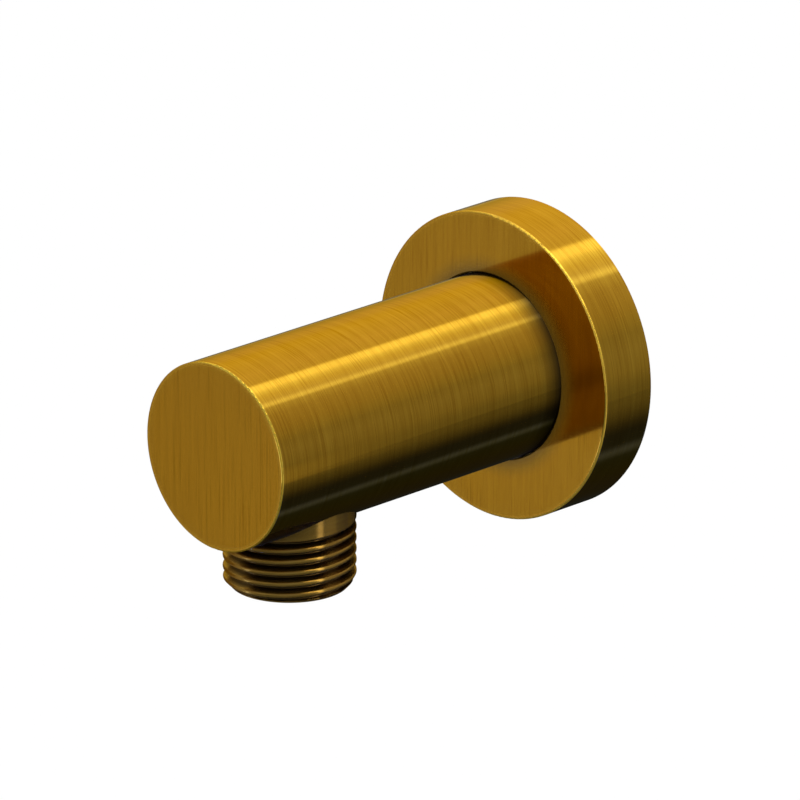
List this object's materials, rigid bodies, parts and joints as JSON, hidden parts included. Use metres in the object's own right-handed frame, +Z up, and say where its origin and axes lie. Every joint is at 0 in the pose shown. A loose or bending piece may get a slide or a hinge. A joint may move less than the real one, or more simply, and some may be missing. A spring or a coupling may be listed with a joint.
{
  "type": "wall outlet elbow",
  "caption": "Round brushed-gold wall outlet elbow: a blunt arm on a hollow round wall flange, with a threaded hose outlet below its front end and a non-return valve inside.",
  "frame": {"origin": "centre of the flange's back face, on the finished wall", "axes": "+Z up, +Y into the wall along the inlet spigot, arm along -Y, outlet down along -Z"},
  "size_m": [0.05, 0.0825, 0.05],
  "materials": {
    "brushed_gold_arm": "fine brushing around the arm, straight on its front face",
    "brushed_gold_flange": "fine brushing around the rim, straight on its face",
    "turned_gold_nipple": "turned, a little browner than the arm",
    "black_rubber": "smooth",
    "pale_acetal": "moulded",
    "blue_acetal": "moulded",
    "stainless_wire": "drawn wire"
  },
  "bodies": {
    "fitting": {"arm_body": "brushed_gold_arm", "wall_flange": "brushed_gold_flange", "flange_o_ring": "black_rubber", "outlet_nipple": "turned_gold_nipple", "nipple_o_ring": "black_rubber", "valve_seat": "pale_acetal", "valve_o_ring": "black_rubber", "valve_cage": "pale_acetal", "valve_spring": "stainless_wire"},
    "poppet": {"valve_poppet": "blue_acetal", "valve_seal": "black_rubber"}
  },
  "joints": [
    {"name": "valve_lift", "type": "slide", "parent": "fitting", "child": "poppet", "axis": [0, 0, -1], "range_m": [0, 0.002], "stiffness_N_per_m": 120, "springref_m": -0.0025, "deforming": ["valve_spring"]}
  ]
}
